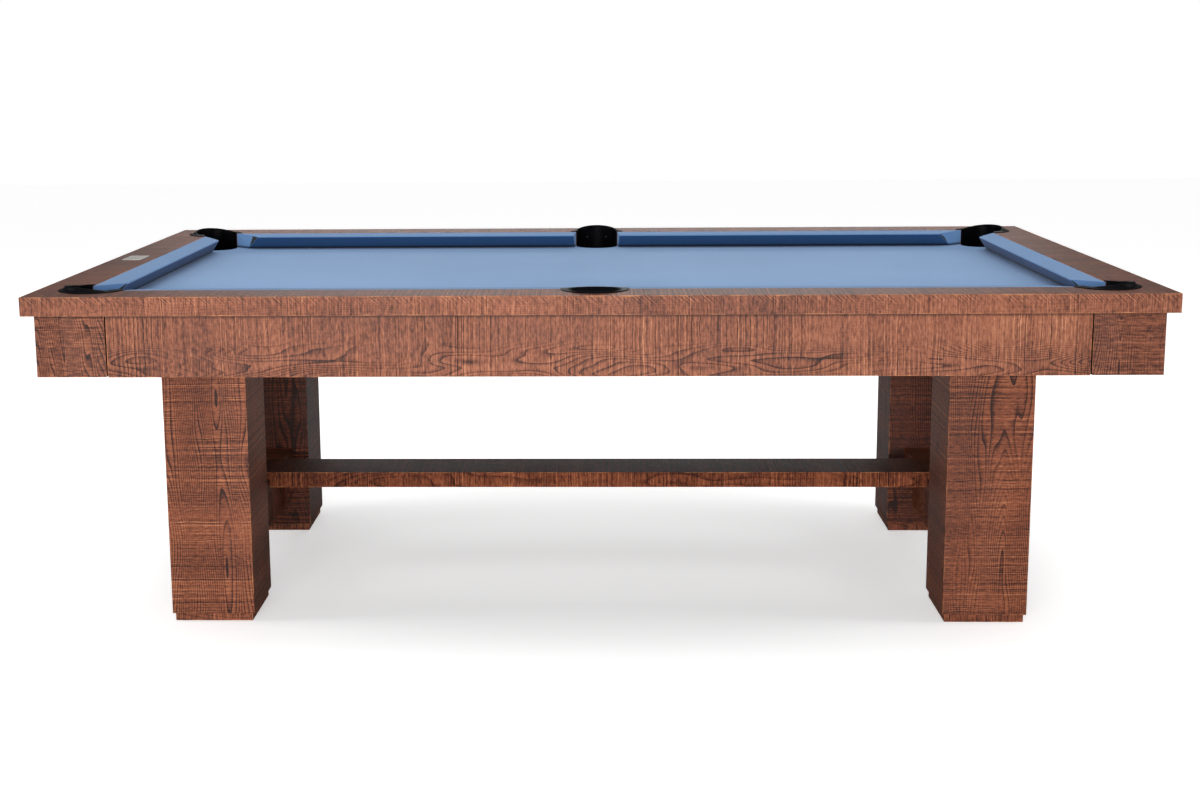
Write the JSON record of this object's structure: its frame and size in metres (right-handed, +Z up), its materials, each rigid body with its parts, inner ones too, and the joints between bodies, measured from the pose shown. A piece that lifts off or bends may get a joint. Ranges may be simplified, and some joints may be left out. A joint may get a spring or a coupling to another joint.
{
  "type": "pool table",
  "caption": "Eight-foot drop-pocket pool table: sawn oak rails, box legs with levelling shoes, H stretcher, blue cloth on slate.",
  "frame": {"origin": "on the floor under the middle of the table", "axes": "+X along the table to the right, +Y across it to the back, +Z up"},
  "size_m": [2.571, 1.454, 0.8542],
  "materials": {
    "rail_oak": "satin",
    "blind_oak": "satin",
    "trim_oak": "satin",
    "leg_oak": "satin",
    "dark_oak": "satin",
    "stretcher_oak": "satin",
    "frame_wood": "matte",
    "cushion_rubber": "matte",
    "cushion_cloth": "matte",
    "bed_cloth": "matte",
    "slate": "matte",
    "pocket_plastic": "satin",
    "plate_metal": "satin",
    "steel": "satin"
  },
  "bodies": {
    "table": {"rail_cap_front": "rail_oak", "rail_cap_back": "rail_oak", "rail_cap_left": "rail_oak", "rail_cap_right": "rail_oak", "sub_rails": "frame_wood", "cushion_rubbers": "cushion_rubber", "cushion_facings": "cushion_rubber", "feather_strips": "frame_wood", "cushion_front_left": "cushion_cloth", "cushion_front_right": "cushion_cloth", "cushion_back_left": "cushion_cloth", "cushion_back_right": "cushion_cloth", "cushion_left": "cushion_cloth", "cushion_right": "cushion_cloth", "rail_bolts": "steel", "rail_nut_plates": "steel", "slate_left": "slate", "slate_middle": "slate", "slate_right": "slate", "slate_backing": "frame_wood", "slate_screws": "steel", "bed_cloth": "bed_cloth", "pocket_front_left": "pocket_plastic", "pocket_front_middle": "pocket_plastic", "pocket_front_right": "pocket_plastic", "pocket_back_left": "pocket_plastic", "pocket_back_middle": "pocket_plastic", "pocket_back_right": "pocket_plastic", "small_screws": "steel", "blind_front": "blind_oak", "blind_back": "blind_oak", "blind_left": "blind_oak", "blind_right": "blind_oak", "blind_brackets": "steel", "corner_trim_front_left": "trim_oak", "corner_trim_front_right": "trim_oak", "corner_trim_back_left": "trim_oak", "corner_trim_back_right": "trim_oak", "corner_blocks": "frame_wood", "frame_beams": "frame_wood", "frame_screws": "steel", "leg_front_left": "leg_oak", "leg_front_right": "leg_oak", "leg_back_left": "leg_oak", "leg_back_right": "leg_oak", "leg_blocks": "frame_wood", "leg_bolts": "steel", "cross_rail_caps": "stretcher_oak", "cross_rail_panels": "stretcher_oak", "cross_rail_bolts": "steel", "stretcher": "stretcher_oak", "nameplate": "plate_metal"},
    "shoe_front_left": {"shoe_front_left": "dark_oak"},
    "level_screw_front_left": {"level_screw_front_left": "steel"},
    "shoe_front_right": {"shoe_front_right": "dark_oak"},
    "level_screw_front_right": {"level_screw_front_right": "steel"},
    "shoe_back_left": {"shoe_back_left": "dark_oak"},
    "level_screw_back_left": {"level_screw_back_left": "steel"},
    "shoe_back_right": {"shoe_back_right": "dark_oak"},
    "level_screw_back_right": {"level_screw_back_right": "steel"}
  },
  "joints": [
    {"name": "level_front_left", "type": "slide", "parent": "table", "child": "shoe_front_left", "axis": [0, 0, 1], "range_m": [-0.012, 0]},
    {"name": "level_turn_front_left", "type": "hinge", "parent": "shoe_front_left", "child": "level_screw_front_left", "pos_m": [-0.9395, -0.386, 0.01], "axis": [0, 0, 1], "range_deg": [-2880, 0]},
    {"name": "level_front_right", "type": "slide", "parent": "table", "child": "shoe_front_right", "axis": [0, 0, 1], "range_m": [-0.012, 0]},
    {"name": "level_turn_front_right", "type": "hinge", "parent": "shoe_front_right", "child": "level_screw_front_right", "pos_m": [0.9395, -0.386, 0.01], "axis": [0, 0, 1], "range_deg": [-2880, 0]},
    {"name": "level_back_left", "type": "slide", "parent": "table", "child": "shoe_back_left", "axis": [0, 0, 1], "range_m": [-0.012, 0]},
    {"name": "level_turn_back_left", "type": "hinge", "parent": "shoe_back_left", "child": "level_screw_back_left", "pos_m": [-0.9395, 0.386, 0.01], "axis": [0, 0, 1], "range_deg": [-2880, 0]},
    {"name": "level_back_right", "type": "slide", "parent": "table", "child": "shoe_back_right", "axis": [0, 0, 1], "range_m": [-0.012, 0]},
    {"name": "level_turn_back_right", "type": "hinge", "parent": "shoe_back_right", "child": "level_screw_back_right", "pos_m": [0.9395, 0.386, 0.01], "axis": [0, 0, 1], "range_deg": [-2880, 0]}
  ],
  "couplings": [
    {"joint": "level_turn_front_left", "follows": "level_front_left", "rad_per_m": 4188.8},
    {"joint": "level_turn_front_right", "follows": "level_front_right", "rad_per_m": 4188.8},
    {"joint": "level_turn_back_left", "follows": "level_back_left", "rad_per_m": 4188.8},
    {"joint": "level_turn_back_right", "follows": "level_back_right", "rad_per_m": 4188.8}
  ]
}
